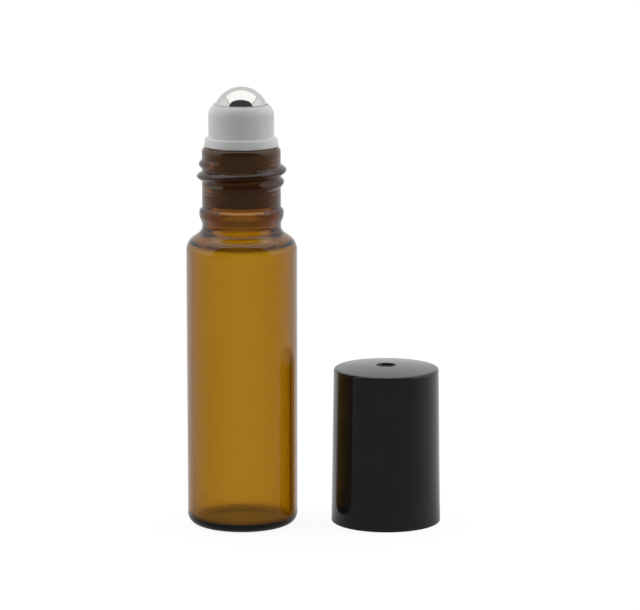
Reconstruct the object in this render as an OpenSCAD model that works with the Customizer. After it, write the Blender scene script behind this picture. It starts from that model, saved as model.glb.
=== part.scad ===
/* [Glass body] */
// Outer diameter of the round glass body
body_d = 20; // [18.6:0.2:26]
// Height of the glass, from the table to the rim of the neck
glass_h = 69.15; // [60:0.05:90]
// Slope of the shoulder above the horizontal, in degrees
shoulder_slope = 33.5; // [28:0.5:42]
// Radius that turns the side into the shoulder
shoulder_round = 2.95; // [2.4:0.05:3.6]
// Thickness of the glass of the side
wall = 1.2; // [0.9:0.1:1.6]
// Thickness of the glass of the shoulder
shoulder_wall = 1.4; // [1:0.1:1.8]
// Rounding of the inside corner between the side and the shoulder
shoulder_inner_round = 0.8; // [0.5:0.1:1.6]
// Thickness of the glass under the contents
base_t = 1.3; // [1.1:0.1:2.2]
// Rounding of the heel
heel_round = 1.9; // [1.4:0.1:2.4]
// Rounding of the inside corner above the base
floor_round = 1; // [0.8:0.1:2]
// Diameter of the hollow under the base
pushup_d = 13.6; // [10:0.2:14.4]
// Depth of the hollow under the base, and rise of the floor above it
pushup_h = 0.3; // [0.2:0.1:0.6]

/* [Glass neck] */
// Outer diameter of the neck
neck_d = 14.2; // [13.8:0.1:14.6]
// Height of the neck, from the line of the shoulder to the rim
neck_h = 15.3; // [14.4:0.1:20]
// Diameter of the bore through the neck
bore_d = 11; // [10.8:0.1:11.6]
// Rounding of the edge where the bore opens into the body
throat_round = 1; // [0.4:0.1:2]
// Radius that turns the shoulder into the neck
neck_round = 1.8; // [1.2:0.1:1.9]
// Rounding of the rim's outer edge
lip_round = 1; // [0.6:0.1:1.1]
// Rounding of the bore's mouth
mouth_round = 0.3; // [0.1:0.1:0.4]
// Diameter of the bead below the thread
bead_d = 15.2; // [14.8:0.1:15.6]
// Height of the bead
bead_h = 2.9; // [2.6:0.1:3.3]
// Height of the bead's foot above the neck's lower end
bead_up = 1.4; // [1.3:0.1:1.8]
// Radius that turns the neck into the bead's lower slope
bead_round = 1.2; // [0.6:0.1:1.3]

/* [Screw thread] */
// Diameter over the crest of the thread on the neck
thread_d = 16.2; // [15.6:0.1:16.4]
// Rise of the thread in one turn
thread_pitch = 2.15; // [2.1:0.05:2.4]
// Width of the thread at its root
thread_w = 2; // [1.6:0.05:2.05]
// Number of turns on the neck
thread_turns = 2.32; // [1.5:0.02:2.4]
// Distance of the thread's start below the rim
thread_down = 7.7; // [7.2:0.1:8.2]
// Angle at which the thread starts, counted from the right-hand side
thread_angle = 150; // [0:5:355]
// Width of the thread inside the cap at its root
cap_thread_w = 1.4; // [1:0.05:1.5]
// Number of turns inside the cap
cap_thread_turns = 1.5; // [1:0.1:1.8]
// Clearance round the neck and round its thread when the cap is on
thread_gap = 0.25; // [0.15:0.05:0.35]

/* [Ball and housing] */
// Diameter of the roller ball
ball_d = 10; // [9.4:0.1:10.4]
// Running clearance between the ball and its socket
ball_gap = 0.05; // [0.03:0.01:0.08]
// Height of the ball's lowest point above the neck's rim
ball_clear = 0.7; // [0.4:0.1:1.2]
// Thickness of the cup's wall at the ball's widest
cup_wall = 0.86; // [0.7:0.01:1]
// Thickness of the seat under the ball
seat_t = 0.8; // [0.6:0.1:1]
// Rounding of the cup's rim
dome_round = 2.4; // [1.8:0.1:2.5]
// Diameter of the feed hole under the ball
feed_d = 6; // [5.6:0.1:6.4]
// Height of the flange that rests on the neck's rim
flange_h = 1.6; // [1:0.1:2]
// How far the flange stands out from the cup
flange_step = 0.56; // [0.4:0.02:0.8]
// How much wider the flange is at its foot
flange_flare = 0.25; // [0.1:0.05:0.4]
// Length of the plug inside the neck
plug_l = 10.7; // [8:0.1:11.4]
// Thickness of the plug's wall
plug_wall = 0.95; // [0.8:0.05:1.1]
// Clearance between the sealing rings and the bore
plug_gap = 0.03; // [0.02:0.01:0.05]
// How far each sealing ring stands out from the plug
seal_proud = 0.12; // [0.08:0.02:0.2]
// Number of sealing rings
seal_count = 3; // [2:1:4]

/* [Cap] */
// Outer diameter of the cap at its rim
cap_d = 19.9; // [19.5:0.1:20.6]
// Outer diameter of the cap at its top
cap_top_d = 19.1; // [18.6:0.1:19.5]
// Thickness of the cap's top at its edge
cap_top_t = 1.5; // [1:0.1:1.8]
// Diameter of the inside just under the top
roof_d = 15.8; // [15.2:0.1:16.2]
// Rounding of the top edge
cap_edge_round = 0.45; // [0.2:0.05:0.8]
// Gap between the rim and the shoulder when the cap is on
rim_gap = 0.3; // [0.2:0.1:0.6]
// Gap between the ball and the cap's top when the cap is on
roof_gap = 0.3; // [0.2:0.1:0.6]
// Mean diameter of the ring that keeps the ball down
hold_d = 5.8; // [5.2:0.1:6.4]
// Thickness of the ring that keeps the ball down
hold_t = 0.8; // [0.6:0.1:1]
// How far the middle of the top stands above its edge
crown_h = 0.6; // [0.3:0.1:0.8]
// Diameter of the pit that the moulding gate leaves in the top
pit_d = 3.7; // [2.6:0.1:4.6]
// Depth of the pit
pit_h = 0.5; // [0.3:0.05:0.7]
// Diameter of the gate's stub in the pit
stub_d = 0.9; // [0.6:0.1:1.2]

/* [Place of the cap] */
// Gap between the bottle's side and the cap's side
stand_gap = 6.2; // [3:0.1:20]
// How far the cap stands behind the bottle's middle
stand_back = 1.3; // [0:0.1:4]

/* [Hidden] */
$fn = 120;

// Degrees of turn in one step of a rounded corner
arc_step = 10;
// Degrees of turn in one step of a thread
thread_step = 10;
// Steps across half of a thread's ridge
ridge_steps = 4;
// Steps from the middle to the edge of the hollow base and of the floor above it
floor_steps = 8;
// Steps from the pit to the edge of the crowned top
crown_steps = 8;
// One overrun for every cut
over = 1;

// Shares of the bead's height: its lower slope and its upper slope
bead_low_share = 0.44;
bead_high_share = 0.18;
// Share of the floor's radius that is domed in steps
floor_dome_share = 0.7;
// Share of the neck's thread over which it swells and over which it fades
swell_share = 0.58;
fade_share = 0.24;
// Share of the ball's radius by which the cup rises above the ball's middle
cup_over_share = 0.46;
// Share of the pit's radius that is flat, and the stub's share of its depth
pit_flat_share = 0.88;
stub_share = 0.5;
// Share of the cap's inside height that is straight and takes the thread
cap_straight_share = 0.52;

// Radii of small edges and how deep a ridge is sunk into what carries it
edge_round = 0.15;
fillet_round = 0.25;
roof_round = 1.2;
pushup_round = 2;
ridge_sink = 0.15;
seal_round = 0.35;

// The bottle
body_r = body_d / 2;
neck_r = neck_d / 2;
bore_r = bore_d / 2;
inner_r = body_r - wall;
pushup_r = pushup_d / 2;
neck_z = glass_h - neck_h;
shoulder_z = neck_z - (body_r - neck_r) * tan(shoulder_slope);
slope_drop = shoulder_wall / cos(shoulder_slope);
inner_shoulder_z = shoulder_z + wall * tan(shoulder_slope) - slope_drop;
inner_neck_z = shoulder_z + (body_r - bore_r) * tan(shoulder_slope) - slope_drop;
bead_z = neck_z + bead_up;

// The thread on the neck
thread_z = glass_h - thread_down;

// The ball and its housing
ball_r = ball_d / 2;
ball_z = glass_h + ball_clear + ball_r;
socket_r = ball_r + ball_gap;
cup_r = socket_r + cup_wall;
cup_top_z = ball_z + ball_r * cup_over_share;
flange_z = glass_h + flange_h;
flange_r = cup_r + flange_step;
seal_r = bore_r - plug_gap;
plug_r = seal_r - seal_proud;
plug_z = glass_h - plug_l;
hollow_r = plug_r - plug_wall;
feed_r = feed_d / 2;

// The cap, with its height worked out from where it lies when it is on
cap_r = cap_d / 2;
cap_top_r = cap_top_d / 2;
cap_bore_r = thread_d / 2 + thread_gap;
cap_crest_r = neck_r + thread_gap;
cap_on_z = shoulder_z + (body_r - cap_bore_r) * tan(shoulder_slope) + rim_gap;
roof_h = ball_z + ball_r + roof_gap - cap_on_z;
cap_h = roof_h + cap_top_t + crown_h;
roof_r = roof_d / 2;
straight_h = roof_h * cap_straight_share;
hold_r = hold_d / 2;
hold_h = ball_z + sqrt(ball_r * ball_r - hold_r * hold_r) + ball_gap - cap_on_z;
edge_h = cap_h - crown_h;
pit_r = pit_d / 2;
pit_floor_h = crown_at(pit_r) - pit_h;
stub_r = stub_d / 2;
cap_x = body_r + stand_gap + cap_r;

// Points of the arc that rounds the corner b between a and c
function unit(v) = v / norm(v);
function flat(p) = [p[0], p[1]];
function corner(a, b, c) =
    let (
        to_a = unit(flat(a) - flat(b)),
        to_c = unit(flat(c) - flat(b)),
        half = acos(to_a * to_c) / 2,
        middle = flat(b) + unit(to_a + to_c) * b[2] / sin(half),
        first = flat(b) + to_a * b[2] / tan(half) - middle,
        sweep = (180 - 2 * half) * (cross(to_a, to_c) < 0 ? 1 : -1),
        steps = max(1, ceil(abs(sweep) / arc_step))
    )
    b[2] == 0
        ? [flat(b)]
        : [for (i = [0:steps])
            let (t = sweep * i / steps)
            middle + [first[0] * cos(t) - first[1] * sin(t), first[0] * sin(t) + first[1] * cos(t)]];

// Outline through corners that are each [radius, height, rounding]
function rounded(points) =
    let (n = len(points))
    [for (i = [0:n - 1]) each corner(points[(i + n - 1) % n], points[i], points[(i + 1) % n])];

// One section of a thread's ridge at an angle; grow is 0 where it is sunk and 1 where it is full
function ridge_section(angle, z, root_r, crest_r, width, grow) =
    let (
        out = sign(crest_r - root_r),
        low_r = root_r - out * ridge_sink,
        rise = (crest_r - low_r) * grow,
        outer = [for (i = [-ridge_steps:ridge_steps])
            [low_r + rise * cos(90 * i / ridge_steps), z + width / 2 * i / ridge_steps]],
        inner = [[low_r - out * ridge_sink, z + width / 2], [low_r - out * ridge_sink, z - width / 2]],
        ring = concat(outer, inner)
    )
    [for (p = out > 0 ? ring : [for (i = [len(ring) - 1:-1:0]) ring[i]])
        [p[0] * cos(angle), p[0] * sin(angle), p[1]]];

// How far a ridge has grown at a share of its length
function grown(share) = sin(90 * min(1, share / swell_share, (1 - share) / fade_share));

// A right-handed thread that starts at an angle and a height, swells, and fades
module thread(root_r, crest_r, width, turns, start_angle, start_z) {
    steps = ceil(turns * 360 / thread_step);
    sections = [for (i = [0:steps])
        let (turn = turns * i / steps)
        ridge_section(start_angle + 360 * turn, start_z + thread_pitch * turn,
                      root_r, crest_r, width, grown(i / steps))];
    n = len(sections[0]);
    walls = [for (i = [0:steps - 1], j = [0:n - 1])
        let (a = i * n + j, b = i * n + (j + 1) % n)
        each [[a, b, b + n], [a, b + n, a + n]]];
    ends = [[for (j = [0:n - 1]) n - 1 - j], [for (j = [0:n - 1]) steps * n + j]];
    polyhedron(points = [for (s = sections) each s], faces = concat(walls, ends));
}

// Height of a shallow dome at a radius, above its edge
function dome_at(r, edge_r) = pushup_h * (1 - pow(r / edge_r, 2));

// Outline of the glass: up the outside, over the rim, and down the inside
function glass_outline() = rounded([
    for (i = [0:floor_steps - 1])
        let (r = pushup_r * i / floor_steps)
        [r, dome_at(r, pushup_r), 0],
    [pushup_r, 0, pushup_round],
    [body_r, 0, heel_round],
    [body_r, shoulder_z, shoulder_round],
    [neck_r, neck_z, neck_round],
    [neck_r, bead_z, bead_round],
    [bead_d / 2, bead_z + bead_h * bead_low_share, bead_round],
    [bead_d / 2, bead_z + bead_h * (1 - bead_high_share), fillet_round],
    [neck_r, bead_z + bead_h, fillet_round],
    [neck_r, glass_h, lip_round],
    [bore_r, glass_h, mouth_round],
    [bore_r, inner_neck_z, throat_round],
    [inner_r, inner_shoulder_z, shoulder_inner_round],
    [inner_r, base_t, floor_round],
    for (i = [floor_steps:-1:0])
        let (r = inner_r * floor_dome_share * i / floor_steps)
        [r, base_t + dome_at(r, inner_r), 0],
]);

// Tubular glass bottle with its beaded and threaded neck
module bottle() {
    color([0.54, 0.33, 0.07, 0.6])
    union() {
        rotate_extrude()
            polygon(glass_outline());
        thread(neck_r, thread_d / 2, thread_w, thread_turns, thread_angle, thread_z);
    }
}

// Outline of the housing before its hollows are cut
function housing_outline() = rounded([
    [0, plug_z, 0],
    [plug_r, plug_z, edge_round],
    [plug_r, glass_h, 0],
    [flange_r + flange_flare, glass_h, edge_round],
    [flange_r, flange_z, edge_round],
    [cup_r, flange_z, fillet_round],
    [cup_r, cup_top_z, dome_round],
    [0, cup_top_z, 0],
]);

// Plastic housing: plug with sealing rings, flange, feed hole, seat and cup in one moulding
module ball_housing() {
    color([0.86, 0.86, 0.84])
    rotate_extrude()
        difference() {
            union() {
                polygon(housing_outline());
                for (i = [1:seal_count])
                    translate([seal_r - seal_round, plug_z + plug_l * i / (seal_count + 1)])
                        circle(seal_round);
            }
            // The ball's socket, open at the top
            translate([0, ball_z])
                circle(socket_r);
            // The feed hole
            translate([0, plug_z])
                square([feed_r, ball_z - plug_z]);
            // The hollow of the plug, closed by the seat's even wall
            difference() {
                translate([0, plug_z - over])
                    square([hollow_r, ball_z - plug_z + over]);
                translate([0, ball_z])
                    circle(socket_r + seat_t);
            }
            // What lies across the axis
            translate([-ball_d, plug_z - over])
                square([ball_d, cup_top_z - plug_z + 2 * over]);
        }
}

// Polished steel ball
module roller_ball() {
    color([0.78, 0.79, 0.8])
    translate([0, 0, ball_z])
        sphere(ball_r);
}

// Height of the crowned top at a radius
function crown_at(r) = edge_h + crown_h * (1 - pow(r / cap_top_r, 2));

// Outline of the cap as it stands on its rim: up the outside, over the top, and down the inside
function cap_outline() = rounded([
    [cap_bore_r, 0, edge_round],
    [cap_r, 0, edge_round],
    [cap_top_r, edge_h, cap_edge_round],
    for (i = [crown_steps - 1:-1:1])
        let (r = pit_r + (cap_top_r - pit_r) * i / crown_steps)
        [r, crown_at(r), 0],
    [pit_r, crown_at(pit_r), edge_round],
    [pit_r * pit_flat_share, pit_floor_h, edge_round],
    [stub_r, pit_floor_h, 0],
    [stub_r, pit_floor_h + pit_h * stub_share, 0],
    [0, pit_floor_h + pit_h * stub_share, 0],
    [0, roof_h, 0],
    [hold_r - hold_t / 2, roof_h, 0],
    [hold_r - hold_t / 2, hold_h, edge_round],
    [hold_r + hold_t / 2, hold_h, edge_round],
    [hold_r + hold_t / 2, roof_h, fillet_round],
    [roof_r, roof_h, roof_round],
    [roof_r, straight_h + cap_bore_r - roof_r, fillet_round],
    [cap_bore_r, straight_h, fillet_round],
]);

// Black screw cap with its inner thread and the ring that keeps the ball down
module cap() {
    color([0.1, 0.1, 0.1])
    translate([cap_x, stand_back, 0])
    union() {
        rotate_extrude()
            polygon(cap_outline());
        thread(cap_bore_r, cap_crest_r, cap_thread_w, cap_thread_turns,
               thread_angle + 180, thread_z - cap_on_z);
    }
}

bottle();
ball_housing();
roller_ball();
cap();
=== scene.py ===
"""Looks of a roll-on bottle: amber glass, plastic housing, steel ball, and the cap beside it."""

import logging
import math
from collections.abc import Iterable, Mapping, Sequence
from dataclasses import dataclass
from enum import Enum

import bpy
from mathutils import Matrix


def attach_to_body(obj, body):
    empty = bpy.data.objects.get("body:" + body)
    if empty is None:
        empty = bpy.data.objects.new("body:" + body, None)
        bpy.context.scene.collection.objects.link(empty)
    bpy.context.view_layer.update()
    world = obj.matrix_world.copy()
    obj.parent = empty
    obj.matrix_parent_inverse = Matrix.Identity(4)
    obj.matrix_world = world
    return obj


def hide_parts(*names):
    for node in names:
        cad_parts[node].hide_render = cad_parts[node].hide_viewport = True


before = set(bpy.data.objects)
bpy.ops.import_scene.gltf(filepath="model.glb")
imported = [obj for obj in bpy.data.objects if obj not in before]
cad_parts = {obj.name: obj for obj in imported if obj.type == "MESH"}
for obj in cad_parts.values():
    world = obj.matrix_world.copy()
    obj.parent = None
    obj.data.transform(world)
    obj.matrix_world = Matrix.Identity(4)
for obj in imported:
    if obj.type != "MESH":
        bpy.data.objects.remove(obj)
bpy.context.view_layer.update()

MM = 0.001
LOG = logging.getLogger("roll_on_bottle")

Colour = tuple[float, float, float]
Vector = tuple[float, float, float]
Point = tuple[float, float]
Span = tuple[float, float]


# Node trees

class Wire:
    """An output socket that takes part in arithmetic, each operator adding a Math node."""

    def __init__(self, graph: "Graph", socket: bpy.types.NodeSocket) -> None:
        """Wraps one output socket of a graph."""
        self.graph = graph
        self.socket = socket

    def __add__(self, other: "Operand") -> "Wire":
        """Sum."""
        return self.graph.math("ADD", self, other)

    __radd__ = __add__

    def __sub__(self, other: "Operand") -> "Wire":
        """Difference."""
        return self.graph.math("SUBTRACT", self, other)

    def __rsub__(self, other: "Operand") -> "Wire":
        """Difference from a number."""
        return self.graph.math("SUBTRACT", other, self)

    def __mul__(self, other: "Operand") -> "Wire":
        """Product."""
        return self.graph.math("MULTIPLY", self, other)

    __rmul__ = __mul__

    def __truediv__(self, other: "Operand") -> "Wire":
        """Quotient."""
        return self.graph.math("DIVIDE", self, other)

    def __rtruediv__(self, other: "Operand") -> "Wire":
        """Quotient of a number by this value."""
        return self.graph.math("DIVIDE", other, self)


Operand = Wire | float


class Graph:
    """Adds nodes to one node tree."""

    def __init__(self, tree: bpy.types.NodeTree) -> None:
        """Starts on a shader or geometry node tree and empties it."""
        self.tree = tree
        tree.nodes.clear()

    def node(self, kind: str, settings: Mapping[str, object] | None = None,
             inputs: Mapping[str | int, object] | None = None) -> bpy.types.Node:
        """Adds a node, gives it its settings first, and then its values and links.

        Args:
            kind: the node's type.
            settings: the node's own properties.
            inputs: a value or a Wire for each socket, by name or by number.

        Returns:
            The node.
        """
        made = self.tree.nodes.new(kind)
        for name, value in (settings or {}).items():
            setattr(made, name, value)
        for name, value in (inputs or {}).items():
            if isinstance(value, Wire):
                self.tree.links.new(value.socket, made.inputs[name])
            else:
                made.inputs[name].default_value = value
        return made

    def wire(self, kind: str, output: str | int = 0, settings: Mapping[str, object] | None = None,
             inputs: Mapping[str | int, object] | None = None) -> Wire:
        """Adds a node, as node does, and wraps the output with this name or number."""
        return Wire(self, self.node(kind, settings, inputs).outputs[output])

    def math(self, operation: str, *values: Operand) -> Wire:
        """The result of a Math node on values in their order."""
        return self.wire("ShaderNodeMath", 0, {"operation": operation}, dict(enumerate(values)))

    def ramp(self, value: Operand, low: float, high: float, to_low: float = 0.0,
             to_high: float = 1.0) -> Wire:
        """Turns a value smoothly from one level to another.

        Args:
            value: what is read.
            low: where the turn starts.
            high: where it ends.
            to_low: the result up to low.
            to_high: the result from high on.

        Returns:
            The result.
        """
        return self.wire("ShaderNodeMapRange", "Result", {"interpolation_type": "SMOOTHSTEP"},
                         {"Value": value, "From Min": low, "From Max": high,
                          "To Min": to_low, "To Max": to_high})

    def parts(self, vector: Wire) -> tuple[Wire, Wire, Wire]:
        """Splits a vector.

        Args:
            vector: what is split.

        Returns:
            Its three parts.
        """
        made = self.node("ShaderNodeSeparateXYZ", None, {0: vector})
        x, y, z = (Wire(self, output) for output in made.outputs)
        return x, y, z


@dataclass(frozen=True)
class Grain:
    """Smooth noise: its lumps in a metre, how many finer layers it has, and their strength."""

    per_m: float
    layers: float = 2.0
    finer: float = 0.5


class ShaderGraph(Graph):
    """A shader tree with the few textures that the finishes here are made of."""

    def place(self, centre: Point = (0.0, 0.0), scale: Vector = (1.0, 1.0, 1.0)) -> Wire:
        """Object coordinates, counted from a piece's own axis.

        Args:
            centre: where the axis stands, in metres.
            scale: how much a pattern is drawn together along each direction.

        Returns:
            The coordinates.
        """
        place = self.wire("ShaderNodeTexCoord", "Object")
        moved = self.wire("ShaderNodeVectorMath", 0, {"operation": "SUBTRACT"},
                          {0: place, 1: (*centre, 0.0)})
        return self.wire("ShaderNodeVectorMath", 0, {"operation": "MULTIPLY"}, {0: moved, 1: scale})

    def noise(self, place: Wire, grain: Grain) -> Wire:
        """Smooth noise round one half.

        Args:
            place: the coordinates.
            grain: how fine and how rough the noise is.

        Returns:
            The noise.
        """
        return self.wire("ShaderNodeTexNoise", "Fac", {"noise_dimensions": "3D"},
                         {"Vector": place, "Scale": grain.per_m, "Detail": grain.layers,
                          "Roughness": grain.finer})

    def bump(self, height: Operand, depth: float) -> Wire:
        """A normal that leans as the height does, where a height of 1 is depth metres."""
        return self.wire("ShaderNodeBump", 0, None,
                         {"Height": height, "Distance": depth, "Strength": 1.0})

    def tint(self, share: Operand, first: Colour, second: Colour) -> Wire:
        """A colour between two, by the share of the second."""
        return self.wire("ShaderNodeMix", 2, {"data_type": "RGBA"},
                         {0: share, 6: (*first, 1.0), 7: (*second, 1.0)})


# Finishes

@dataclass(frozen=True)
class Finish:
    """How a kind of surface looks."""

    name: str

    def surface(self, graph: ShaderGraph) -> dict[str, object]:
        """A value or a Wire for each socket of a Principled shader. Each finish has its own."""
        raise NotImplementedError

    def inside(self, graph: ShaderGraph) -> dict[str, object]:
        """A Wire for each further socket of the output: none, unless the finish has an inside."""
        return {}

    def material(self) -> bpy.types.Material:
        """Makes the material.

        Returns:
            The material.
        """
        made = bpy.data.materials.new(self.name)
        made.use_nodes = True
        graph = ShaderGraph(made.node_tree)
        shader = graph.wire("ShaderNodeBsdfPrincipled", 0, None, self.surface(graph))
        graph.node("ShaderNodeOutputMaterial", None, {"Surface": shader, **self.inside(graph)})
        return made


@dataclass(frozen=True)
class AmberGlass(Finish):
    """Clear amber tube glass: its colour comes from the thickness that the light crosses."""

    taken_per_mm: Colour = (0.41, 0.70, 2.3)
    ior: float = 1.51
    draw_lines: Grain = Grain(260.0, finer=0.4)
    draw_stretch: float = 0.03
    draw_depth: float = 0.012 * MM
    smears: Grain = Grain(70.0, 3.0, 0.6)
    smear_span: Span = (0.5, 0.8)
    smear_rough: float = 0.03

    def surface(self, graph: ShaderGraph) -> dict[str, object]:
        """Clear glass with faint lines along the tube and a few smears.

        Args:
            graph: the material's tree.

        Returns:
            A value or a Wire for each socket.
        """
        lines = graph.noise(graph.place(scale=(1.0, 1.0, self.draw_stretch)), self.draw_lines)
        smears = graph.noise(graph.place(), self.smears)
        return {
            "Base Color": (1.0, 1.0, 1.0, 1.0),
            "Transmission Weight": 1.0,
            "IOR": self.ior,
            "Normal": graph.bump(lines, self.draw_depth),
            "Roughness": graph.ramp(smears, *self.smear_span, 0.0, self.smear_rough),
        }

    def inside(self, graph: ShaderGraph) -> dict[str, object]:
        """The amber that takes the light on its way.

        Args:
            graph: the material's tree.

        Returns:
            A Wire for each socket.
        """
        most = max(self.taken_per_mm)
        colour = tuple(1.0 - taken / most for taken in self.taken_per_mm)
        return {"Volume": graph.wire("ShaderNodeVolumeAbsorption", 0, None,
                                     {"Color": (*colour, 1.0), "Density": most / MM})}


@dataclass(frozen=True)
class NaturalPlastic(Finish):
    """Uncoloured polyethylene: milky, a little see-through, with a satin moulded skin."""

    pale: Colour = (0.96, 0.955, 0.945)
    dull: Colour = (0.93, 0.925, 0.915)
    ior: float = 1.5
    milk: float = 0.8
    milk_reach: Vector = (1.0, 1.0, 0.95)
    milk_depth: float = 0.8 * MM
    clouds: Grain = Grain(240.0, 3.0, 0.6)
    skin: Grain = Grain(5200.0)
    skin_depth: float = 0.004 * MM
    span: Span = (0.3, 0.7)
    rough: Span = (0.34, 0.46)

    def surface(self, graph: ShaderGraph) -> dict[str, object]:
        """Milky plastic with light clouds and a fine even skin.

        Args:
            graph: the material's tree.

        Returns:
            A value or a Wire for each socket.
        """
        place = graph.place()
        clouds = graph.ramp(graph.noise(place, self.clouds), *self.span)
        skin = graph.noise(place, self.skin)
        return {
            "Base Color": graph.tint(clouds, self.pale, self.dull),
            "Roughness": graph.ramp(skin, *self.span, *self.rough),
            "Normal": graph.bump(skin, self.skin_depth),
            "IOR": self.ior,
            "Subsurface Weight": self.milk,
            "Subsurface Radius": self.milk_reach,
            "Subsurface Scale": self.milk_depth,
        }


@dataclass(frozen=True)
class PolishedSteel(Finish):
    """Polished ball steel, with the faint haze and hairlines that rolling leaves."""

    bright: Colour = (0.68, 0.67, 0.655)
    dim: Colour = (0.62, 0.61, 0.595)
    haze: Grain = Grain(300.0, 4.0, 0.6)
    haze_span: Span = (0.35, 0.7)
    hairs: Grain = Grain(900.0, 3.0, 0.7)
    hair_stretch: float = 0.06
    hair_span: Span = (0.35, 0.75)
    hair_depth: float = 0.0006 * MM
    rough: Span = (0.05, 0.11)

    def surface(self, graph: ShaderGraph) -> dict[str, object]:
        """Bright metal with haze and hairlines.

        Args:
            graph: the material's tree.

        Returns:
            A value or a Wire for each socket.
        """
        haze = graph.ramp(graph.noise(graph.place(), self.haze), *self.haze_span)
        hairs = graph.noise(graph.place(scale=(self.hair_stretch, 1.0, 1.0)), self.hairs)
        return {
            "Base Color": graph.tint(haze, self.bright, self.dim),
            "Roughness": graph.ramp(hairs, *self.hair_span, *self.rough),
            "Normal": graph.bump(hairs, self.hair_depth),
            "Metallic": 1.0,
        }


@dataclass(frozen=True)
class BlackPlastic(Finish):
    """Black moulded plastic with a high gloss, a faint orange peel and a few handling marks."""

    centre: Point = (0.0, 0.0)
    black: Colour = (0.015, 0.015, 0.015)
    worn: Colour = (0.019, 0.019, 0.019)
    ior: float = 1.5
    marks: Grain = Grain(150.0, 5.0, 0.65)
    mark_span: Span = (0.45, 0.75)
    peel: Grain = Grain(520.0)
    peel_depth: float = 0.004 * MM
    rough: Span = (0.1, 0.17)

    def surface(self, graph: ShaderGraph) -> dict[str, object]:
        """Glossy black that is a little paler and duller where it is worn.

        Args:
            graph: the material's tree.

        Returns:
            A value or a Wire for each socket.
        """
        place = graph.place(self.centre)
        marks = graph.ramp(graph.noise(place, self.marks), *self.mark_span)
        return {
            "Base Color": graph.tint(marks, self.black, self.worn),
            "Roughness": graph.ramp(marks, 0.0, 1.0, *self.rough),
            "Normal": graph.bump(graph.noise(place, self.peel), self.peel_depth),
            "IOR": self.ior,
        }


# Outlines

ARC_STEP = math.radians(7.5)


@dataclass(frozen=True)
class Corner:
    """A corner of an outline: its distance from the axis, height and rounding, in millimetres."""

    r: float
    z: float
    rounding: float = 0.0


def rounded(corners: Sequence[Corner]) -> list[Point]:
    """Rounds the corners of an outline that isn't closed.

    Args:
        corners: the corners in order. The first and the last stay sharp.

    Returns:
        The points in order.
    """
    points = [(corners[0].r, corners[0].z)]
    for before, corner, after in zip(corners, corners[1:], corners[2:]):
        points += arc_in_corner(before, corner, after)
    points.append((corners[-1].r, corners[-1].z))
    return points


def arc_in_corner(before: Corner, corner: Corner, after: Corner) -> list[Point]:
    """The arc that rounds a corner, or the corner itself where it is sharp.

    Args:
        before: the corner before it.
        corner: the corner.
        after: the corner after it.

    Returns:
        The arc's points.
    """
    if corner.rounding == 0.0:
        return [(corner.r, corner.z)]
    back = math.atan2(before.z - corner.z, before.r - corner.r)
    ahead = math.atan2(after.z - corner.z, after.r - corner.r)
    opening = (ahead - back + math.pi) % math.tau - math.pi
    quarter = math.copysign(math.pi / 2, opening)
    middle = back + opening / 2
    reach = corner.rounding / math.sin(abs(opening) / 2)
    centre = (corner.r + reach * math.cos(middle), corner.z + reach * math.sin(middle))
    start = back - quarter
    return arc(centre, corner.rounding, start, start + opening - 2 * quarter)


def arc(centre: Point, radius: float, start: float, end: float) -> list[Point]:
    """Points along an arc.

    Args:
        centre: its centre.
        radius: its radius.
        start: the angle of its first point.
        end: the angle of its last point.

    Returns:
        The points, the first and the last among them.
    """
    count = max(1, math.ceil(abs(end - start) / ARC_STEP))
    angles = [start + (end - start) * i / count for i in range(count + 1)]
    return [(centre[0] + radius * math.cos(a), centre[1] + radius * math.sin(a)) for a in angles]


@dataclass(frozen=True)
class Thread:
    """A right-handed thread on a wall: a rounded ridge that swells and fades, in millimetres."""

    root: float
    crest: float
    width: float
    turns: float
    start_turn: float
    start_z: float
    pitch: float = 2.15
    swell: float = 0.58
    fade: float = 0.24
    sink: float = 0.15
    fillet: float = 0.12
    row: float = 0.07
    slack: float = 0.007

    @property
    def low(self) -> float:
        """The height at which the ridge starts to rise."""
        return self.start_z - self.width / 2

    @property
    def high(self) -> float:
        """The height at which the ridge has gone."""
        return self.start_z + self.pitch * self.turns + self.width / 2

    def holds(self, a: Point, b: Point) -> bool:
        """Whether the run of the outline from a to b is on the threaded wall."""
        low, high = self.low - self.slack, self.high + self.slack
        return all(abs(r - self.root) < self.slack and low < z < high for r, z in (a, b))


def stepped(points: Sequence[Point], longest: float, thread: Thread | None = None) -> list[Point]:
    """Adds points along the runs, close together near corners and along a thread.

    Args:
        points: an outline.
        longest: the longest step.
        thread: the thread on one of its walls.

    Returns:
        The outline with more points.
    """
    made = [points[0]]
    for a, b in zip(points, points[1:]):
        length = math.dist(a, b)
        if thread is not None and thread.holds(a, b):
            count = math.ceil(length / thread.row)
            shares = [i / count for i in range(1, count + 1)]
        else:
            count = math.ceil(length * math.pi / 2 / longest)
            shares = [(1 - math.cos(math.pi * i / count)) / 2 for i in range(1, count + 1)]
        made += [(a[0] + (b[0] - a[0]) * s, a[1] + (b[1] - a[1]) * s) for s in shares]
    return made


# Trees that make pieces

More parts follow.
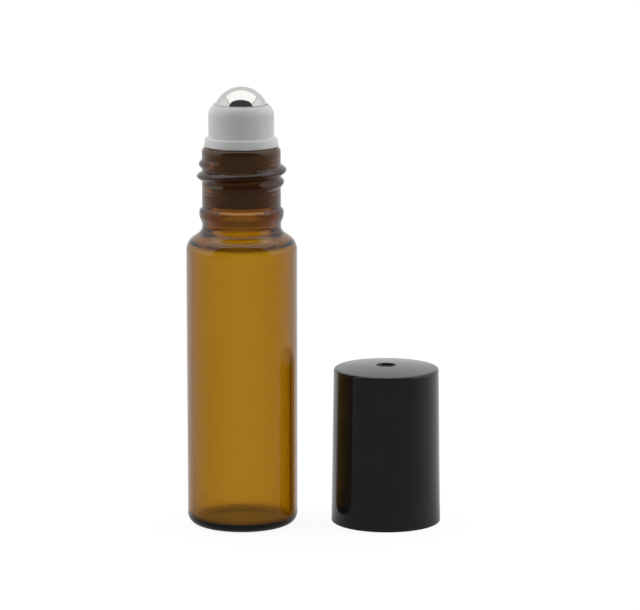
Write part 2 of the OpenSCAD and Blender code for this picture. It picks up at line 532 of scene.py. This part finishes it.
class PieceTree:
    """A Geometry Nodes tree with named inputs, which makes a piece and gives it its finish."""

    NAME: str
    INPUTS: Mapping[str, str]

    def __init__(self) -> None:
        """Builds the tree."""
        self.tree = bpy.data.node_groups.new(self.NAME, "GeometryNodeTree")
        graph = Graph(self.tree)
        face = self.tree.interface
        self.keys = {
            name: face.new_socket(name, in_out="INPUT", socket_type="NodeSocket" + kind).identifier
            for name, kind in self.INPUTS.items()
        }
        face.new_socket("Piece", in_out="OUTPUT", socket_type="NodeSocketGeometry")
        given = graph.node("NodeGroupInput")
        self.sizes = {socket.name: Wire(graph, socket) for socket in given.outputs if socket.name}
        smooth = graph.wire("GeometryNodeSetShadeSmooth", 0, None, {0: self._shape(graph)})
        real = graph.wire("GeometryNodeRealizeInstances", 0, None, {0: smooth})
        dressed = graph.wire("GeometryNodeSetMaterial", 0, None,
                             {0: real, "Material": self.sizes["Finish"]})
        graph.node("NodeGroupOutput", None, {0: dressed})

    def _shape(self, graph: Graph) -> Wire:
        """Adds the nodes that make the mesh. Each tree has its own."""
        raise NotImplementedError

    def _make(self, name: str, points: Sequence[Vector],
              values: Mapping[str, object]) -> bpy.types.Object:
        """Runs the tree and makes a plain mesh of what it gives.

        Args:
            name: the piece's name.
            points: what the tree starts from.
            values: the value of each input.

        Returns:
            The piece.
        """
        start = bpy.data.meshes.new(name + "_start")
        start.from_pydata(points, [], [])
        source = bpy.data.objects.new(name + "_start", start)
        bpy.context.scene.collection.objects.link(source)
        modifier = source.modifiers.new("tree", "NODES")
        modifier.node_group = self.tree
        for key, value in values.items():
            modifier[self.keys[key]] = value
        graph = bpy.context.evaluated_depsgraph_get()
        mesh = bpy.data.meshes.new_from_object(source.evaluated_get(graph))
        mesh.name = name
        piece = bpy.data.objects.new(name, mesh)
        bpy.context.scene.collection.objects.link(piece)
        bpy.data.objects.remove(source)
        return piece


class TurnedTree(PieceTree):
    """Turns an outline round an upright axis and raises a thread on it."""

    NAME = "turned_piece"
    FLOATS = ("Centre X", "Centre Y", "Root", "Crest", "Width", "Pitch", "Turns", "Start Turn",
              "Start Height", "Swell", "Fade", "Sink", "Fillet")
    INPUTS = {"Outline": "Geometry", "Segments": "Int", **dict.fromkeys(FLOATS, "Float"),
              "Finish": "Material"}
    MERGE = 0.0005 * MM
    ON_WALL = 0.5

    def _shape(self, graph: Graph) -> Wire:
        """Lays a sheet of rows and columns round the axis, one row for each point of the outline.

        Args:
            graph: the tree.

        Returns:
            The mesh.
        """
        size = self.sizes
        rows = graph.wire("GeometryNodeAttributeDomainSize", "Point Count", {"component": "MESH"},
                          {0: size["Outline"]})
        columns = size["Segments"] + 1.0
        sheet = graph.wire("GeometryNodeMeshGrid", "Mesh", None,
                           {"Vertices X": rows, "Vertices Y": columns})
        index = graph.wire("GeometryNodeInputIndex")
        row = graph.math("FLOOR", (index + 0.5) / columns)
        turn = (index - row * columns) / size["Segments"]
        point = graph.wire("GeometryNodeSampleIndex", 0, {"data_type": "FLOAT_VECTOR"},
                           {0: size["Outline"], 1: graph.wire("GeometryNodeInputPosition"), 2: row})
        radius, _, height = graph.parts(point)
        radius = self._threaded(graph, turn, radius, height)
        angle = turn * math.tau
        place = graph.wire("ShaderNodeCombineXYZ", 0, None, {
            0: size["Centre X"] + radius * graph.math("COSINE", angle),
            1: size["Centre Y"] + radius * graph.math("SINE", angle),
            2: height,
        })
        turned = graph.wire("GeometryNodeSetPosition", 0, None, {0: sheet, "Position": place})
        outward = graph.wire("GeometryNodeFlipFaces", 0, None, {0: turned})
        return graph.wire("GeometryNodeMergeByDistance", 0, None,
                          {0: outward, "Distance": self.MERGE})

    def _threaded(self, graph: Graph, turn: Wire, radius: Wire, height: Wire) -> Wire:
        """The radius with the thread's ridge on it, where the wall is the threaded one.

        Args:
            graph: the tree.
            turn: how far round the axis a point is, in turns.
            radius: the plain radius.
            height: the point's height.

        Returns:
            The radius.
        """
        size = self.sizes
        lead = turn - size["Start Turn"]
        rise = height - size["Start Height"]
        along = lead + graph.math("ROUND", rise / size["Pitch"] - lead)
        aside = graph.math("ABSOLUTE", rise - along * size["Pitch"]) / size["Width"] * 2.0
        share = along / size["Turns"]
        grown = graph.math("MINIMUM", share / size["Swell"], (1.0 - share) / size["Fade"])
        grown = graph.wire("ShaderNodeClamp", 0, None, {0: grown})
        grown = graph.math("SINE", grown * (math.pi / 2))
        across = graph.math("COSINE", graph.math("MINIMUM", aside, 1.0) * (math.pi / 2))
        side = graph.math("SIGN", size["Crest"] - size["Root"])
        low = size["Root"] - side * size["Sink"]
        ridge = low + (size["Crest"] - low) * grown * across
        raised = side * graph.math("SMOOTH_MAX", side * radius, side * ridge, size["Fillet"])
        off_wall = graph.math("ABSOLUTE", radius - size["Root"])
        on_wall = graph.math("LESS_THAN", off_wall, size["Sink"] * self.ON_WALL)
        return radius + on_wall * (raised - radius)

    def turn(self, name: str, outline: Sequence[Point], finish: bpy.types.Material, segments: int,
             centre: Point = (0.0, 0.0), thread: Thread | None = None) -> bpy.types.Object:
        """Turns one piece.

        Args:
            name: the piece's name.
            outline: its outline in millimetres, up the outside and down the inside.
            finish: its material.
            segments: how many segments go round.
            centre: where its axis stands, in millimetres.
            thread: the thread on it.

        Returns:
            The piece.
        """
        sizes = {"Centre X": centre[0] * MM, "Centre Y": centre[1] * MM}
        if thread is not None:
            sizes.update({
                "Root": thread.root * MM, "Crest": thread.crest * MM, "Width": thread.width * MM,
                "Pitch": thread.pitch * MM, "Turns": thread.turns, "Start Turn": thread.start_turn,
                "Start Height": thread.start_z * MM, "Swell": thread.swell, "Fade": thread.fade,
                "Sink": thread.sink * MM, "Fillet": thread.fillet * MM,
            })
        floats = {key: float(sizes.get(key, 0.0)) for key in self.FLOATS}
        return self._make(name, [(r * MM, 0.0, z * MM) for r, z in outline],
                          {"Segments": segments, **floats, "Finish": finish})


class BallTree(PieceTree):
    """Draws the even squares of a cube out to a sphere, so that it has no poles."""

    NAME = "ground_ball"
    INPUTS = {"Squares": "Int", "Radius": "Float", "Height": "Float", "Finish": "Material"}

    def _shape(self, graph: Graph) -> Wire:
        """Sets each point of a cube on the sphere.

        Args:
            graph: the tree.

        Returns:
            The mesh.
        """
        count = self.sizes["Squares"] + 1.0
        block = graph.wire("GeometryNodeMeshCube", "Mesh", None,
                           {"Size": (2.0, 2.0, 2.0), "Vertices X": count, "Vertices Y": count,
                            "Vertices Z": count})
        even = [graph.math("TANGENT", part * (math.pi / 4))
                for part in graph.parts(graph.wire("GeometryNodeInputPosition"))]
        spread = graph.wire("ShaderNodeCombineXYZ", 0, None, dict(enumerate(even)))
        unit = graph.wire("ShaderNodeVectorMath", 0, {"operation": "NORMALIZE"}, {0: spread})
        drawn = graph.wire("ShaderNodeVectorMath", 0, {"operation": "SCALE"},
                           {0: unit, "Scale": self.sizes["Radius"]})
        centre = graph.wire("ShaderNodeCombineXYZ", 0, None, {2: self.sizes["Height"]})
        placed = graph.wire("ShaderNodeVectorMath", 0, {"operation": "ADD"}, {0: drawn, 1: centre})
        return graph.wire("GeometryNodeSetPosition", 0, None, {0: block, "Position": placed})

    def grind(self, name: str, radius: float, height: float, finish: bpy.types.Material,
              squares: int) -> bpy.types.Object:
        """Makes a ball of a radius at a height, in millimetres, with squares along each edge."""
        return self._make(name, [], {"Squares": squares, "Radius": radius * MM,
                                     "Height": height * MM, "Finish": finish})


def attach(piece: bpy.types.Object, node: str, body: str) -> bpy.types.Object:
    """Lets a piece stand for its CAD node and move with its body.

    Args:
        piece: the piece.
        node: the node that it stands for.
        body: the body that it rides on.

    Returns:
        The piece.
    """
    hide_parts(node)
    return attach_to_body(piece, body)


# Sub-assemblies, with every size in millimetres

@dataclass(frozen=True)
class Bottle:
    """The amber glass bottle."""

    body_d: float = 20.0
    glass_h: float = 69.15
    slope: float = 33.5
    shoulder_round: float = 2.95
    wall: float = 1.2
    shoulder_wall: float = 1.4
    shoulder_inner_round: float = 0.8
    base_t: float = 1.3
    heel_round: float = 1.9
    floor_round: float = 1.0
    pushup_d: float = 13.6
    pushup_h: float = 0.3
    pushup_round: float = 2.0
    neck_d: float = 14.2
    neck_h: float = 15.3
    bore_d: float = 11.0
    throat_round: float = 1.0
    neck_round: float = 1.8
    lip_round: float = 1.0
    mouth_round: float = 0.3
    bead_d: float = 15.2
    bead_h: float = 2.9
    bead_up: float = 1.4
    bead_round: float = 1.2
    bead_low: float = 0.44
    bead_high: float = 0.18
    fillet: float = 0.25
    thread_d: float = 16.2
    thread_width: float = 2.0
    thread_turns: float = 2.32
    thread_down: float = 7.7
    thread_turn: float = 150 / 360
    floor_dome: float = 0.7
    floor_steps: int = 8
    segments: int = 240
    step: float = 1.2

    @property
    def neck_z(self) -> float:
        """The height of the line where the shoulder meets the neck."""
        return self.glass_h - self.neck_h

    @property
    def tan(self) -> float:
        """The shoulder's rise for each millimetre inwards."""
        return math.tan(math.radians(self.slope))

    @property
    def shoulder_z(self) -> float:
        """The height of the line where the side meets the shoulder."""
        return self.neck_z - (self.body_d - self.neck_d) / 2 * self.tan

    @property
    def thread(self) -> Thread:
        """The thread on the neck."""
        return Thread(self.neck_d / 2, self.thread_d / 2, self.thread_width, self.thread_turns,
                      self.thread_turn, self.glass_h - self.thread_down)

    def _dome(self, edge: float, base: float, reach: float) -> list[Corner]:
        """The dome of the hollow base or the floor over it, from the axis out as far as reach."""
        radii = [reach * i / self.floor_steps for i in range(self.floor_steps + 1)]
        return [Corner(r, base + self.pushup_h * (1 - (r / edge) ** 2)) for r in radii]

    def outline(self) -> list[Point]:
        """The glass's outline: along the base, up the outside, over the rim, down the inside.

        Returns:
            The points.
        """
        body, neck, bore = self.body_d / 2, self.neck_d / 2, self.bore_d / 2
        bead, push, inner = self.bead_d / 2, self.pushup_d / 2, self.body_d / 2 - self.wall
        bead_z = self.neck_z + self.bead_up
        drop = self.shoulder_wall / math.cos(math.radians(self.slope))
        thread = self.thread
        corners = [
            *self._dome(push, 0.0, push)[:-1],
            Corner(push, 0.0, self.pushup_round),
            Corner(body, 0.0, self.heel_round),
            Corner(body, self.shoulder_z, self.shoulder_round),
            Corner(neck, self.neck_z, self.neck_round),
            Corner(neck, bead_z, self.bead_round),
            Corner(bead, bead_z + self.bead_h * self.bead_low, self.bead_round),
            Corner(bead, bead_z + self.bead_h * (1 - self.bead_high), self.fillet),
            Corner(neck, bead_z + self.bead_h, self.fillet),
            Corner(neck, thread.low),
            Corner(neck, thread.high),
            Corner(neck, self.glass_h, self.lip_round),
            Corner(bore, self.glass_h, self.mouth_round),
            Corner(bore, self.shoulder_z + (body - bore) * self.tan - drop, self.throat_round),
            Corner(inner, self.shoulder_z + self.wall * self.tan - drop, self.shoulder_inner_round),
            Corner(inner, self.base_t, self.floor_round),
            *reversed(self._dome(inner, self.base_t, inner * self.floor_dome)),
        ]
        return stepped(rounded(corners), self.step, thread)

    def build(self, tree: TurnedTree) -> Iterable[bpy.types.Object]:
        """Builds the bottle.

        Args:
            tree: the tree that turns pieces.

        Yields:
            The piece.
        """
        piece = tree.turn("bottle_glass", self.outline(), AmberGlass("amber_glass").material(),
                          self.segments, thread=self.thread)
        yield attach(piece, "bottle", "bottle")


@dataclass(frozen=True)
class Roller:
    """The plastic housing in the neck and the steel ball in it."""

    bottle: Bottle
    ball_d: float = 10.0
    ball_gap: float = 0.05
    ball_clear: float = 0.7
    cup_wall: float = 0.86
    cup_over: float = 0.46
    seat_t: float = 0.8
    dome_round: float = 2.4
    lip_round: float = 0.08
    lip_reach: float = 0.16
    feed_d: float = 6.0
    flange_h: float = 1.6
    flange_step: float = 0.56
    flange_flare: float = 0.25
    plug_l: float = 10.7
    plug_wall: float = 0.95
    plug_press: float = 0.01
    seal_count: int = 3
    seal_band: float = 0.56
    groove_w: float = 0.3
    groove_deep: float = 0.1
    groove_slope: float = 0.05
    edge: float = 0.15
    fillet: float = 0.25
    segments: int = 192
    step: float = 0.8
    squares: int = 56

    @property
    def ball_z(self) -> float:
        """The height of the ball's centre."""
        return self.bottle.glass_h + self.ball_clear + self.ball_d / 2

    @property
    def socket_r(self) -> float:
        """The radius of the ball's socket."""
        return self.ball_d / 2 + self.ball_gap

    def housing_outline(self) -> list[Point]:
        """The housing's outline: up the outside, down the socket and down the plug's inside.

        Returns:
            The points, the first again at the end.
        """
        glass_h, ball_z = self.bottle.glass_h, self.ball_z
        plug_r = self.bottle.bore_d / 2 + self.plug_press
        plug_z = glass_h - self.plug_l
        hollow_r = plug_r - self.plug_wall
        cup_r = self.socket_r + self.cup_wall
        flange_r = cup_r + self.flange_step
        top_z = ball_z + self.ball_d / 2 * self.cup_over
        feed_r = self.feed_d / 2
        under_r = self.socket_r + self.seat_t
        seals = [point for i in range(1, self.seal_count + 1)
                 for point in self._seal(plug_r, plug_z + self.plug_l * i / (self.seal_count + 1))]
        outside = rounded([
            Corner(hollow_r, plug_z),
            Corner(plug_r, plug_z, self.edge),
            *[Corner(r, z) for r, z in seals],
            Corner(plug_r, glass_h),
            Corner(flange_r + self.flange_flare, glass_h, self.edge),
            Corner(flange_r, glass_h + self.flange_h, self.edge),
            Corner(cup_r, glass_h + self.flange_h, self.fillet),
            Corner(cup_r, top_z - self.dome_round),
        ])
        lip = self._lip(cup_r, top_z)
        under_end = math.acos(hollow_r / under_r)
        under_start = math.acos(feed_r / under_r)
        seat = arc((0.0, ball_z), under_r, -under_start, -under_end)
        return stepped([*outside, *lip, *seat, (hollow_r, plug_z)], self.step)

    def _seal(self, plug_r: float, z: float) -> list[Point]:
        """One sealing ring on the pressed plug, between its two grooves.

        Args:
            plug_r: the plug's radius.
            z: the ring's height.

        Returns:
            The points, upwards.
        """
        groove_r = plug_r - self.groove_deep
        points = []
        for low in (z - self.seal_band / 2 - self.groove_w, z + self.seal_band / 2):
            high = low + self.groove_w
            points += [(plug_r, low), (groove_r, low + self.groove_slope),
                       (groove_r, high - self.groove_slope), (plug_r, high)]
        return points

    def _lip(self, cup_r: float, top_z: float) -> list[Point]:
        """The cup's domed rim, its lip and the socket down to the feed hole.

        Args:
            cup_r: the cup's outer radius.
            top_z: the height of the dome.

        Returns:
            The points, over the dome and down the socket.
        """
        dome = (cup_r - self.dome_round, top_z - self.dome_round)
        socket = (0.0, self.ball_z)
        apart = math.dist(dome, socket)
        along = (self.dome_round ** 2 - self.socket_r ** 2 + apart ** 2) / (2 * apart)
        towards = math.atan2(socket[1] - dome[1], socket[0] - dome[0])
        meet = towards - math.acos(along / self.dome_round)
        edge = (dome[0] + self.dome_round * math.cos(meet),
                dome[1] + self.dome_round * math.sin(meet))
        socket_meet = math.atan2(edge[1] - socket[1], edge[0] - socket[0])
        over = arc(dome, self.dome_round, 0.0, meet % math.tau - self.lip_reach / self.dome_round)
        down = arc(socket, self.socket_r, socket_meet - self.lip_reach / self.socket_r,
                   -math.acos(self.feed_d / 2 / self.socket_r))
        lip = arc_in_corner(Corner(*over[-1]), Corner(*edge, self.lip_round), Corner(*down[0]))
        return [*over[1:], *lip, *down]

    def build(self, tree: TurnedTree, balls: BallTree) -> Iterable[bpy.types.Object]:
        """Builds the housing and the ball.

        Args:
            tree: the tree that turns pieces.
            balls: the tree that makes balls.

        Yields:
            The pieces.
        """
        plastic = NaturalPlastic("natural_plastic").material()
        housing = tree.turn("housing_moulding", self.housing_outline(), plastic, self.segments)
        yield attach(housing, "ball_housing", "ball_housing")
        steel = PolishedSteel("polished_steel").material()
        ball = balls.grind("steel_ball", self.ball_d / 2, self.ball_z, steel, self.squares)
        yield attach(ball, "roller_ball", "roller_ball")


@dataclass(frozen=True)
class Cap:
    """The black screw cap that stands on its rim beside the bottle."""

    bottle: Bottle
    roller: Roller
    cap_d: float = 19.9
    top_d: float = 19.1
    top_t: float = 1.5
    roof_d: float = 15.8
    edge_round: float = 0.45
    rim_gap: float = 0.3
    roof_gap: float = 0.3
    hold_d: float = 5.8
    hold_t: float = 0.8
    crown_h: float = 0.6
    pit_d: float = 3.7
    pit_h: float = 0.5
    pit_flat: float = 0.88
    stub_d: float = 0.9
    stub_share: float = 0.5
    straight: float = 0.52
    edge: float = 0.15
    fillet: float = 0.25
    roof_round: float = 1.2
    thread_gap: float = 0.25
    thread_width: float = 1.4
    thread_turns: float = 1.5
    thread_behind: float = 0.5
    stand_gap: float = 6.2
    stand_back: float = 1.3
    crown_steps: int = 8
    segments: int = 240
    step: float = 1.0

    @property
    def centre(self) -> Point:
        """Where the cap's axis stands."""
        return self.bottle.body_d / 2 + self.stand_gap + self.cap_d / 2, self.stand_back

    @property
    def bore_r(self) -> float:
        """The radius inside the threaded part."""
        return self.bottle.thread_d / 2 + self.thread_gap

    @property
    def on_z(self) -> float:
        """The height of the cap's rim when the cap is on."""
        body = self.bottle.body_d / 2
        return self.bottle.shoulder_z + (body - self.bore_r) * self.bottle.tan + self.rim_gap

    @property
    def roof_h(self) -> float:
        """The height inside the cap."""
        return self.roller.ball_z + self.roller.ball_d / 2 + self.roof_gap - self.on_z

    @property
    def edge_h(self) -> float:
        """The height of the cap at its top's edge."""
        return self.roof_h + self.top_t

    @property
    def thread(self) -> Thread:
        """The thread inside the cap, in mesh with the neck's when the cap is on."""
        return Thread(self.bore_r, self.bottle.neck_d / 2 + self.thread_gap, self.thread_width,
                      self.thread_turns, self.bottle.thread_turn + self.thread_behind,
                      self.bottle.thread.start_z - self.on_z)

    def crown_at(self, radius: float) -> float:
        """The height of the crowned top at a distance from the axis."""
        return self.edge_h + self.crown_h * (1 - (radius / self.top_d * 2) ** 2)

    def outline(self) -> list[Point]:
        """The cap's outline: under the roof, down the inside, up the outside, over the top.

        Returns:
            The points.
        """
        outer, top, roof = self.cap_d / 2, self.top_d / 2, self.roof_d / 2
        pit, stub = self.pit_d / 2, self.stub_d / 2
        pit_z = self.crown_at(pit) - self.pit_h
        stub_z = pit_z + self.pit_h * self.stub_share
        straight_h = self.roof_h * self.straight
        hold_in, hold_out = (self.hold_d - self.hold_t) / 2, (self.hold_d + self.hold_t) / 2
        ball_r = self.roller.ball_d / 2
        hold_z = (self.roller.ball_z + math.sqrt(ball_r ** 2 - (self.hold_d / 2) ** 2)
                  + self.roller.ball_gap - self.on_z)
        thread = self.thread
        crown = [pit + (top - pit) * i / self.crown_steps
                 for i in range(self.crown_steps - 1, 0, -1)]
        corners = [
            Corner(0.0, self.roof_h),
            Corner(hold_in, self.roof_h),
            Corner(hold_in, hold_z, self.edge),
            Corner(hold_out, hold_z, self.edge),
            Corner(hold_out, self.roof_h, self.fillet),
            Corner(roof, self.roof_h, self.roof_round),
            Corner(roof, straight_h + self.bore_r - roof, self.fillet),
            Corner(self.bore_r, straight_h, self.fillet),
            Corner(self.bore_r, thread.high),
            Corner(self.bore_r, thread.low),
            Corner(self.bore_r, 0.0, self.edge),
            Corner(outer, 0.0, self.edge),
            Corner(top, self.edge_h, self.edge_round),
            *[Corner(r, self.crown_at(r)) for r in crown],
            Corner(pit, self.crown_at(pit), self.edge),
            Corner(pit * self.pit_flat, pit_z, self.edge),
            Corner(stub, pit_z),
            Corner(stub, stub_z),
            Corner(0.0, stub_z),
        ]
        return stepped(rounded(corners), self.step, thread)

    def build(self, tree: TurnedTree) -> Iterable[bpy.types.Object]:
        """Builds the cap.

        Args:
            tree: the tree that turns pieces.

        Yields:
            The piece.
        """
        x, y = self.centre
        plastic = BlackPlastic("black_plastic", centre=(x * MM, y * MM)).material()
        piece = tree.turn("cap_moulding", self.outline(), plastic, self.segments,
                          self.centre, self.thread)
        yield attach(piece, "cap", "cap")


# Studio

class Wall(Enum):
    """How bright the walls of the studio look, where 1 is the white of the paper."""

    BACK = 0.84
    SIDE = 1.0
    TOP = 1.42
    OPENING = 0.055
    PAPER = 1.0
    BEYOND = 0.55


@dataclass(frozen=True)
class Studio:
    """A white tent that is open towards the camera, and the paper that the object stands on."""

    back_reach: float = 1.33
    opening_x: float = 1.75
    opening_z: float = 2.6
    soft: float = 0.12
    seam: float = 0.045
    seam_dark: float = 0.7
    top_turn: float = 0.03
    least: float = 0.001
    least_square: float = 0.0001
    floor_size: float = 6.0
    floor_front: float = 0.24
    floor_turn: float = 0.03
    mirror_dark: float = -0.6
    mirror_bright: float = 0.8
    floor_back_colour: Colour = (0.8, 0.8, 0.8)
    floor_front_colour: Colour = (0.52, 0.52, 0.52)
    seen_glow: float = 0.92
    seen_grey: float = 0.12
    through_glow: float = 0.3
    through_grey: float = 0.9
    far_from: float = 0.33
    far_at: float = 0.38

    def _rays(self, graph: Graph) -> tuple[Wire, Wire, Wire]:
        """What a ray is: from the camera, only gone through glass, or mirrored.

        Args:
            graph: the tree that asks.

        Returns:
            Three values that are 0 or 1.
        """
        ray = graph.node("ShaderNodeLightPath")
        seen, mirrored, through, scattered, bounced = (
            Wire(graph, ray.outputs[name])
            for name in ("Is Camera Ray", "Is Glossy Ray", "Is Transmission Ray",
                         "Diffuse Depth", "Glossy Depth"))
        straight = graph.math("LESS_THAN", scattered + bounced, 0.5)
        return seen, through * straight, mirrored

    def _white(self, graph: Graph, glow: Operand, grey: float) -> Wire:
        """White paper that shows a shadow.

        Args:
            graph: the tree.
            glow: how much of its brightness is its own.
            grey: how much it takes from the light on it.

        Returns:
            The shader.
        """
        lit = graph.wire("ShaderNodeBsdfDiffuse", 0, None, {"Color": (grey, grey, grey, 1.0)})
        own = graph.wire("ShaderNodeEmission", 0, None, {"Strength": glow})
        return graph.wire("ShaderNodeAddShader", 0, None, {0: lit, 1: own})

    def light(self) -> None:
        """Sets the world: plain white behind the object, and the tent in what is lit or mirrors."""
        world = bpy.data.worlds.new("tent")
        bpy.context.scene.world = world
        world.use_nodes = True
        graph = Graph(world.node_tree)
        x, y, z = graph.parts(graph.wire("ShaderNodeTexCoord", "Generated"))
        ahead = graph.math("MAXIMUM", 0.0 - y, self.least)
        behind = graph.math("MAXIMUM", y, self.least)
        aside = graph.math("ABSOLUTE", x)
        in_opening = (graph.ramp(aside / ahead, self.opening_x + self.soft, self.opening_x)
                      * graph.ramp(z / ahead, self.opening_z + self.soft, self.opening_z))
        in_back = (graph.ramp(aside / behind, self.back_reach + self.soft, self.back_reach)
                   * graph.ramp(z / behind, self.back_reach + self.soft, self.back_reach))
        overhead = graph.ramp(z - aside, -self.top_turn, self.top_turn)
        seam = graph.ramp(graph.math("ABSOLUTE", z - aside), self.seam, 0.0)
        level = Wall.SIDE.value + overhead * (Wall.TOP.value - Wall.SIDE.value)
        level = level * (1.0 - seam * self.seam_dark)
        seen, through, _ = self._rays(graph)
        for share, wall in ((in_opening, Wall.OPENING), (in_back, Wall.BACK),
                            (seen, Wall.PAPER), (through, Wall.BEYOND)):
            level = level + share * (wall.value - level)
        glow = graph.wire("ShaderNodeBackground", 0, None,
                          {"Color": (1.0, 1.0, 1.0, 1.0), "Strength": level})
        graph.node("ShaderNodeOutputWorld", None, {"Surface": glow})

    def paper(self) -> None:
        """Lays the floor: white where it is seen, with the object's shadow on it."""
        half = self.floor_size / 2
        mesh = bpy.data.meshes.new("floor")
        corners = ((-half, -half), (half, -half), (half, half), (-half, half))
        mesh.from_pydata([(x, y, 0.0) for x, y in corners], [], [(0, 1, 2, 3)])
        floor = bpy.data.objects.new("floor", mesh)
        bpy.context.scene.collection.objects.link(floor)
        made = bpy.data.materials.new("paper")
        made.use_nodes = True
        graph = ShaderGraph(made.node_tree)
        seen, through, mirrored = self._rays(graph)
        x, y, _ = graph.parts(graph.wire("ShaderNodeTexCoord", "Object"))
        back = graph.ramp(y, -self.floor_turn, self.floor_turn)
        colour = graph.tint(back, self.floor_front_colour, self.floor_back_colour)
        shown = graph.wire("ShaderNodeBsdfDiffuse", 0, None, {"Color": colour})
        away = graph.math("SQRT", x * x + y * y + self.least_square)
        behind = graph.ramp(y / away, self.mirror_dark, self.mirror_bright)
        level = self.floor_front + behind * (Wall.BACK.value - self.floor_front)
        image = graph.wire("ShaderNodeEmission", 0, None, {"Strength": level})
        glow = graph.ramp(y, self.far_from, self.far_at, self.through_glow, 0.0)
        for share, shader in ((mirrored, image),
                              (through, self._white(graph, glow, self.through_grey)),
                              (seen, self._white(graph, self.seen_glow, self.seen_grey))):
            shown = graph.wire("ShaderNodeMixShader", 0, None, {0: share, 1: shown, 2: shader})
        graph.node("ShaderNodeOutputMaterial", None, {"Surface": shown})
        floor.data.materials.append(made)


@dataclass(frozen=True)
class View:
    """The photograph's camera, in millimetres, degrees and pixels."""

    place: Vector = (14.11, -607.3, 150.65)
    pitch: float = 10.31
    photo_width: int = 640
    focal: float = 3414.6
    sensor: float = 36.0
    near: float = 10.0
    far: float = 20000.0

    def build(self) -> None:
        """Makes the camera and has the scene use it."""
        data = bpy.data.cameras.new("camera")
        data.sensor_width = self.sensor
        data.lens = self.focal / self.photo_width * self.sensor
        data.clip_start = self.near * MM
        data.clip_end = self.far * MM
        camera = bpy.data.objects.new("camera", data)
        camera.location = [part * MM for part in self.place]
        camera.rotation_euler = (math.radians(90.0 - self.pitch), 0.0, 0.0)
        bpy.context.scene.collection.objects.link(camera)
        bpy.context.scene.camera = camera


def report(piece: bpy.types.Object) -> None:
    """Says what a piece is made of."""
    sizes = " x ".join(f"{part / MM:.2f}" for part in piece.dimensions)
    LOG.info("%s: %d faces, %s mm", piece.name, len(piece.data.polygons), sizes)


def main() -> None:
    """Builds the object, the studio and the camera."""
    logging.basicConfig(level=logging.INFO, format="%(message)s")
    bpy.context.scene.view_settings.view_transform = "Standard"
    tree = TurnedTree()
    bottle = Bottle()
    roller = Roller(bottle)
    cap = Cap(bottle, roller)
    for piece in (*bottle.build(tree), *roller.build(tree, BallTree()), *cap.build(tree)):
        report(piece)
    studio = Studio()
    studio.light()
    studio.paper()
    View().build()


if __name__ == "__main__":
    main()
